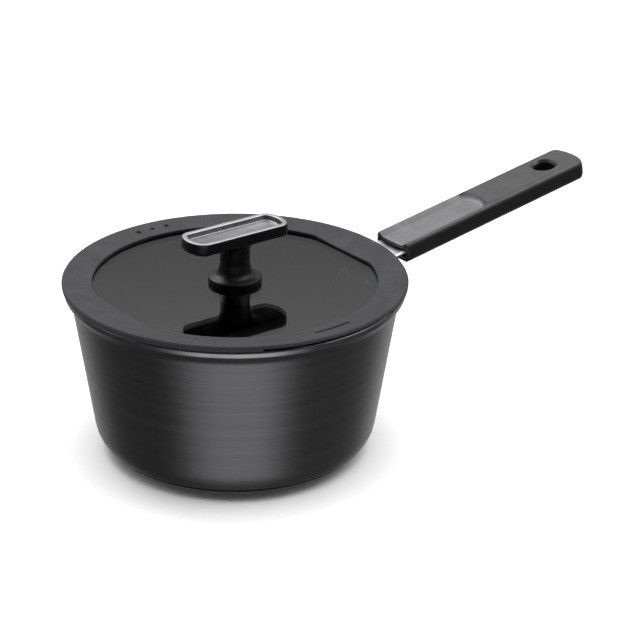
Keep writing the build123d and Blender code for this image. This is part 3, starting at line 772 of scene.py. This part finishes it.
def make_grip():
    shape = Shape()
    loop = grip_loop()
    half = GRIP_W / 2 + GRIP_BULGE
    rings = []

    def ring(a, shrink):
        """One cross line at a along the grip; shrink is its distance inside the far end."""
        made = []
        for v, w in loop:
            v2, w2 = v, w
            if shrink is not None:
                near = max(0, GRIP_CORNER_R - shrink)
                v2 = v * (half - GRIP_CORNER_R + sqrt(GRIP_CORNER_R ** 2 - near ** 2)) / half
                drop = END_EDGE_R - sqrt(END_EDGE_R ** 2 - max(0, END_EDGE_R - shrink) ** 2)
                w2 = -drop + w * (GRIP_T - 2 * drop) / GRIP_T
            elif w > -2.5:
                depth = scoop_depth(a, v)
                if depth > 0:
                    # the scoop meets the shoulder in a softened ridge
                    gap = max(0, RIDGE_SOFT - abs(depth + w)) / RIDGE_SOFT
                    w2 = -max(depth, -w) - 0.11 * gap * gap
            made.append((a - arc_sag(a, v2), v2, w2))
        return made

    # the mouth's rim is rounded by half a millimetre
    for a, inset in ((0.0, 0.45), (0.13, 0.14), (0.45, 0.0)):
        middle = -GRIP_T / 2
        row = []
        for (u, v, w) in ring(a, None):
            scale_v = (half - inset) / half
            row.append((u, v * scale_v, w - inset if w > middle else w + inset))
        rings.append(row)
    stations = span(2, 62, 30) + [63, 64, 64.6] + [65.0 + 0.3 * k for k in range(11)]
    stations += [68.15, 68.3, 68.4, 68.55, 68.8, 69.5] + span(71, 136, 26)
    lines = [0.0, 0.2, 0.5] + stations
    for a in stations:
        rings.append(ring(a, None))
    for q in (5.0, 4.2, 3.5, 3.0, 2.5, 2.0, 1.6, 1.25, 0.95, 0.7, 0.48, 0.3, 0.16, 0.06, 0.015, 0.0):
        rings.append(ring(GRIP_L - q, q))
    last = rings[-1]
    centre_w = -GRIP_T / 2
    for scale in (0.93, 0.75, 0.5, 0.25, 0.06):
        row = []
        for u, v, w in last:
            v2, w2 = v * scale, centre_w + (w - centre_w) * scale
            row.append((GRIP_L - arc_sag(GRIP_L, v2), v2, w2))
        rings.append(row)

    # faces inside the scoop take the nylon drawn paler as a painted sheen
    def finish(row, i):
        (v, w), (v_next, w_next) = loop[i], loop[(i + 1) % len(loop)]
        if min(w, w_next) < -2.5 or row >= len(lines):
            return 0
        return 1 if scoop_depth(lines[row], (v + v_next) / 2) > -(w + w_next) / 2 else 0

    outer = shape.loft([[grip_point(*p) for p in row] for row in rings], ends=False, finish=finish)
    shape.mesh.faces.new(outer[-1])
    # socket: a blind pocket that takes the bracket's tang
    mouth = socket_outline()
    centre = (0.0, -8.0)
    hole = [reach_outline(mouth, centre, (p[1], p[2])) for p in rings[0]]
    pocket = []
    for u, grow in ((0.0, 0.2), (0.25, 0.0), (20, 0.0), (SOCKET_L, 0.0)):
        wide = 1 + grow / SOCKET_HALF
        pocket.append([grip_point(u, v * wide, w + (grow if w > centre[1] else -grow) * 0.8)
                       for v, w in hole])
    inner = shape.loft(pocket, ends=False)
    shape.mesh.faces.new(inner[-1])
    shape.bridge(outer[0], inner[0])
    obj = add_piece("grip", shape, [GRIP_PLASTIC, SCOOP_NYLON_PAINTED_SHEEN], "pan", ["handle_grip"])
    # hang hole with a wide bevel on both faces, and the recess of the screw underneath
    flare, depth = HANG_R + HANG_CHAMFER, HANG_CHAMFER
    section = [(0, 2), (flare + 2, 2), (flare + 0.25, 0.25), (flare, 0.0), (flare - 0.2, -0.17),
               (HANG_R + 0.2, 0.17 - depth), (HANG_R, -depth - 0.2), (HANG_R, -GRIP_T + depth + 0.2),
               (HANG_R + 0.2, -GRIP_T + depth - 0.17), (flare, -GRIP_T), (flare + 2, -GRIP_T - 2),
               (0, -GRIP_T - 2)]
    hang = Shape()
    hang.turned(section, 72)
    recess = Shape()
    low, top = -GRIP_T - 1, -GRIP_T + SCREW_RECESS_T
    recess.turned([(0, low), (SCREW_RECESS_R, low), (SCREW_RECESS_R, top), (0, top)], 40)
    turn = Matrix.Rotation(-GRIP_RISE, 4, "Y")
    for cutter, at in ((hang, HANG_AT), (recess, SCREW_AT)):
        move = Matrix.Translation(Vector(grip_point(at, 0, 0)) * MM) @ turn
        cutter.mesh.transform(move)
    carve(obj, [hang, recess])
    # the hole's bore is duller nylon drawn near black, a painted shade inside the hole
    axis = Vector(grip_point(HANG_AT, 0, 0)) * MM
    up = turn.to_3x3() @ Vector((0, 0, 1))
    obj.data.materials.append(BORE_NYLON_PAINTED_SHADE)
    for face in obj.data.polygons:
        away = face.center - axis
        if (away - up * away.dot(up)).length < (HANG_R + 0.1) * MM:
            face.material_index = 2
    return obj


# ---------------------------------------------------------------- bracket and rivets


def channel_loop():
    """Section of the bracket's trough as (across, up): inside first, then the underside."""
    edge, low, foot = -CHANNEL_EDGE, -CHANNEL_EDGE - CHANNEL_SAG, -CHANNEL_EDGE - 1.0
    half, lip = CHANNEL_HALF, CHANNEL_HALF - SHEET_T

    def bow(reach, top, bottom, count):
        return [(v, bottom + (top - bottom) * abs(v / reach) ** 3) for v in span(-reach, reach, count)]

    inside = bow(lip, edge, low, 24)
    outside = list(reversed(bow(half, foot, low - SHEET_T, 24)))
    right = [(lip + 0.25, edge), (half - 0.35, edge), (half - 0.1, edge - 0.1), (half, edge - 0.35)]
    left = [(-v, w) for v, w in reversed(right)]
    return inside[:-1] + [(lip, edge)] + right + outside + left


def along_to_wall(v, w, grow):
    """Distance along the grip's axis at which a line at (across, up) meets the pan's wall."""
    near, far = -40.0, 20.0
    for _ in range(40):
        middle = (near + far) / 2
        x, y, z = grip_point(middle, v, w)
        if hypot(x, y) < wall_r(z) + grow:
            near = middle
        else:
            far = middle
    return far


def make_bracket():
    shape = Shape()
    loop = channel_loop()
    rings = []
    # the sheet sweeps out to meet the wall where it was pressed round
    for grow, flare in ((-0.3, 1.0), (0.0, 0.75), (0.35, 0.42), (0.9, 0.16), (1.8, 0.03)):
        row = []
        for k, (v, w) in enumerate(loop):
            outside = k >= len(loop) // 2 - 2
            w2 = w - flare if outside else w + flare * 1.2
            v2 = v * (1 + 0.06 * flare)
            row.append(grip_point(along_to_wall(v2, w2, grow), v2, w2))
        rings.append(row)
    for u in (-9.0, -6.0, -3.0, 0.0, 6.0, 30.0, TANG_L - 1.0):
        rings.append([grip_point(u, v, w) for v, w in loop])
    shape.loft(rings)
    make_foot(shape)
    for side in (-1, 1):
        make_web(shape, side * WEB_Y)
    return add_piece("bracket", shape, [STAINLESS], "pan", ["handle_bracket"])


def on_wall(y, z, out):
    """Point at height z and width y that stands off the pan's wall by out."""
    r = wall_r(z) + out
    return (sqrt(r * r - y * y), y, z)


def make_foot(shape):
    """Pad that wraps the wall, with softened edges and rounded corners."""
    outline = rounded(
        [(-FOOT_HALF_W, -FOOT_HALF_H, FOOT_CORNER_R), (FOOT_HALF_W, -FOOT_HALF_H, FOOT_CORNER_R),
         (FOOT_HALF_W, FOOT_HALF_H, FOOT_CORNER_R), (-FOOT_HALF_W, FOOT_HALF_H, FOOT_CORNER_R)],
        steps=10, closed=True,
    )
    dense = []
    for (y1, z1), (y2, z2) in zip(outline, outline[1:] + outline[:1]):
        cuts = max(1, round(hypot(y2 - y1, z2 - z1) / 2.0))
        dense += [(y1 + (y2 - y1) * k / cuts, z1 + (z2 - z1) * k / cuts) for k in range(cuts)]
    section = [(1.0, -0.15), (1.0, SHEET_T - 0.5), (0.985, SHEET_T - 0.15), (0.955, SHEET_T)]
    rings = []
    for scale, out in section:
        rings.append([on_wall(y * scale, FOOT_Z + z * scale, out) for y, z in dense])
    for scale in (0.8, 0.55, 0.3, 0.05):
        rings.append([on_wall(y * scale, FOOT_Z + z * scale, SHEET_T) for y, z in dense])
    back = [[on_wall(y * s, FOOT_Z + z * s, -0.15) for y, z in dense] for s in (0.05, 0.3, 0.55, 0.8)]
    shape.loft(back + rings)


def make_web(shape, y):
    """Rib under the trough, bent out of the same sheet."""
    rise = tan(GRIP_RISE)
    under = GRIP_Z - CHANNEL_EDGE - CHANNEL_SAG
    outline = rounded(
        [
            (wall_r(WEB_LOW_Z) - 0.3, WEB_LOW_Z, 0), (wall_r(WEB_LOW_Z) + 2.5, WEB_LOW_Z, 0.95),
            (wall_r(FOOT_Z) + 7, FOOT_Z + 3, 9.0), (GRIP_X - 3, under - 3 * rise - 0.9, 0.3),
            (WALL_R + 1, under - (GRIP_X - WALL_R) * rise - 0.9, 0),
            (wall_r(82.0) - 0.3, 82.0, 0),
        ],
        steps=8, closed=True,
    )
    half = SHEET_T / 2
    middle = (sum(x for x, _ in outline) / len(outline), sum(z for _, z in outline) / len(outline))
    rings = []
    for offset, inset in ((-half, 0.3), (-half + 0.09, 0.09), (-half + 0.3, 0.0), (half - 0.3, 0.0),
                          (half - 0.09, 0.09), (half, 0.3)):
        row = []
        for x, z in outline:
            away = Vector((middle[0] - x, middle[1] - z)).normalized() * inset
            row.append((x + away.x, y + offset, z + away.y))
        rings.append(row)
    shape.loft(rings)


def make_rivets():
    shape = Shape()
    ball = (RIVET_HEAD_R ** 2 + RIVET_DOME ** 2) / (2 * RIVET_DOME)
    reach = asin(RIVET_HEAD_R / ball)
    dome = [(ball * sin(t), ball * cos(t) - ball + RIVET_DOME) for t in span(0, reach - 0.03, 9)]
    dome += [(RIVET_HEAD_R, -0.05), (RIVET_HEAD_R - 0.1, -0.45), (0, -0.45)]
    for side in (-1, 1):
        y, z = side * RIVET_Y, FOOT_Z
        turn = asin(y / wall_r(z))
        for inward in (False, True):
            head = Shape()
            head.turned(dome, 40)
            r = wall_r(z) - WALL_T if inward else wall_r(z) + SHEET_T
            tilt = Matrix.Rotation(turn, 4, "Z") @ Matrix.Rotation(pi / 2 + TAPER, 4, "Y")
            flip = Matrix.Rotation(pi, 4, "X") if inward else Matrix.Identity(4)
            at = Vector((sqrt(r * r - y * y), y, z)) * MM
            head.mesh.transform(Matrix.Translation(at) @ tilt @ flip)
            copy = bpy.data.meshes.new("head")
            head.mesh.to_mesh(copy)
            head.mesh.free()
            shape.mesh.from_mesh(copy)
            bpy.data.meshes.remove(copy)
    return add_piece("rivets", shape, [RIVET], "pan", ["bracket_rivets"])


make_pan()
make_lid_rim()
make_glass()
make_knob()
make_plate()
make_grip()
make_bracket()
make_rivets()

for node, material in (
    ("base_disc", DISC_STEEL),
    ("grip_screw", ZINC),
    ("knob_insert", BRASS),
    ("knob_screw", ZINC),
    ("knob_washer", ZINC),
    ("knob_seal_upper", SEAL),
    ("knob_seal_lower", SEAL),
):
    mesh = NODES[node].data
    mesh.materials.clear()
    mesh.materials.append(material)


# ---------------------------------------------------------------- floor, light and camera


def make_floor():
    """Matt white painted board that takes a soft contact shadow and nothing else."""
    material, tree, shader = begin("studio_floor")
    slow = noise(tree, place(tree), 400.0, 2.0)
    feed(tree, shader, Base_Color=blend(tree, slow, "#f4f4f4", "#f8f8f8"), Roughness=0.9)
    shader.inputs["Specular IOR Level"].default_value = 0.0
    shape = Shape()
    shape.turned([(0, -0.4), (700, -0.4), (6000, -0.4)], 64)
    floor = add_piece("floor", shape, [material], None, ())
    # the pan's skin mirrors the studio's apron, not the floor, so the floor stays out of reflections
    floor.visible_glossy = False


CAMERA_BEARING, CAMERA_RISE, CAMERA_PITCH = -35.4, 22.745, 24.10
CAMERA_DISTANCE, CAMERA_ASIDE = 1.124, 0.0038
LENS_MM, LENS_SHIFT = 111.8, 0.12453


def make_camera():
    azimuth, rise, pitch = (radians(a) for a in (CAMERA_BEARING, CAMERA_RISE, CAMERA_PITCH))
    back = Vector((sin(azimuth) * cos(rise), -cos(azimuth) * cos(rise), sin(rise)))
    right = Vector((cos(azimuth), sin(azimuth), 0))
    data = bpy.data.cameras.new("camera")
    data.sensor_width = 36.0
    data.lens = LENS_MM
    data.shift_x = LENS_SHIFT
    data.clip_start, data.clip_end = 0.05, 50
    camera = bpy.data.objects.new("camera", data)
    bpy.context.scene.collection.objects.link(camera)
    lid_middle = Vector((0, 0, LID_TOP_Z * MM))
    camera.location = lid_middle + back * CAMERA_DISTANCE + right * CAMERA_ASIDE
    forward = -Vector((sin(azimuth) * cos(pitch), -cos(azimuth) * cos(pitch), sin(pitch)))
    camera.rotation_euler = forward.to_track_quat("-Z", "Y").to_euler()
    bpy.context.scene.camera = camera


def make_lamp(name, azimuth, rise, distance, size, power, aim=(0, 0, 0.06)):
    """Soft rectangular lamp at a bearing round the pan, aimed at it."""
    data = bpy.data.lights.new(name, "AREA")
    data.shape = "RECTANGLE"
    data.size, data.size_y = size
    data.energy = power
    lamp = bpy.data.objects.new(name, data)
    bpy.context.scene.collection.objects.link(lamp)
    a, e = radians(azimuth), radians(rise)
    back = Vector((sin(a) * cos(e), -cos(a) * cos(e), sin(e)))
    lamp.location = Vector(aim) + back * distance
    lamp.rotation_euler = (-back).to_track_quat("-Z", "Y").to_euler()
    lamp.visible_transmission = False
    return lamp


def make_world():
    """Soft studio surroundings: a bright ceiling towards the back, a bright apron in front,
    darker to both sides, which leaves a round pan with a lit middle and shaded flanks."""
    world = bpy.data.worlds.new("studio")
    bpy.context.scene.world = world
    world.use_nodes = True
    tree = world.node_tree
    tree.nodes.clear()
    aim = put(tree, "ShaderNodeTexCoord").outputs["Generated"]
    height = put(tree, "ShaderNodeSeparateXYZ", Vector=aim).outputs[2]
    level = put(tree, "ShaderNodeVectorMath", operation="MULTIPLY", in0=aim, in1=(1, 1, 0)).outputs[0]
    level = put(tree, "ShaderNodeVectorMath", operation="NORMALIZE", in0=level).outputs[0]
    a = radians(CAMERA_BEARING)

    def towards(looked, direction):
        made = put(tree, "ShaderNodeVectorMath", operation="DOT_PRODUCT", in0=looked, in1=direction)
        return made.outputs[1]

    facing = towards(level, (sin(a), -cos(a), 0))
    side = towards(level, (cos(a), sin(a), 0))
    ceiling = between(tree, height, 0.29, 1.8, 0.33, 0.62, soft=True)
    # the ceiling is lit behind and over the pan; low in front it stays dim
    lean = towards(aim, (sin(a), -cos(a), 0))
    dim = between(tree, lean, 1.0, 0.08, 0.12, 0.46, soft=True)
    ceiling = sums(tree, "MULTIPLY", ceiling, dim)
    apron = between(tree, facing, 0.0, 1.0, 0.66, 0.99, soft=True)
    apron = sums(tree, "MULTIPLY", apron, between(tree, height, 0.07, 1.56, -0.83, -0.50, soft=True))
    back = between(tree, facing, 0.6, 0.0, -0.95, -0.35, soft=True)
    back = sums(tree, "MULTIPLY", back, between(tree, height, 0.0, 1.0, -0.86, -0.5, soft=True))
    below = sums(tree, "ADD", sums(tree, "ADD", apron, back), 0.11)
    above = between(tree, height, 0.0, 1.0, -0.06, 0.10, soft=True)
    mixed = put(tree, "ShaderNodeMix", data_type="FLOAT", in0=above, in2=below, in3=ceiling)
    strength = mixed.outputs[0]
    strength = sums(tree, "MULTIPLY", strength, between(tree, side, 0.88, 1.15, -1.0, 1.0))
    glow = put(tree, "ShaderNodeBackground", Color=(1, 1, 1, 1), Strength=strength)
    put(tree, "ShaderNodeOutputWorld", Surface=glow.outputs[0])


make_floor()
make_camera()
# the overhead lamp lights the floor and the matt surfaces without adding a highlight of its own
make_lamp("overhead", CAMERA_BEARING, 84, 1.7, (1.6, 1.6), 26).visible_glossy = False
make_lamp("back_left", 185, 42, 1.5, (0.6, 0.6), 4.5)
make_lamp("right", 54, 52, 1.5, (0.5, 0.5), 2.4)
make_lamp("grip_sheen", 153, 40, 1.5, (0.35, 0.35), 0.8)
make_world()
settings = bpy.context.scene.view_settings
settings.view_transform = "Standard"
settings.look = "None"

bpy.context.view_layer.update()
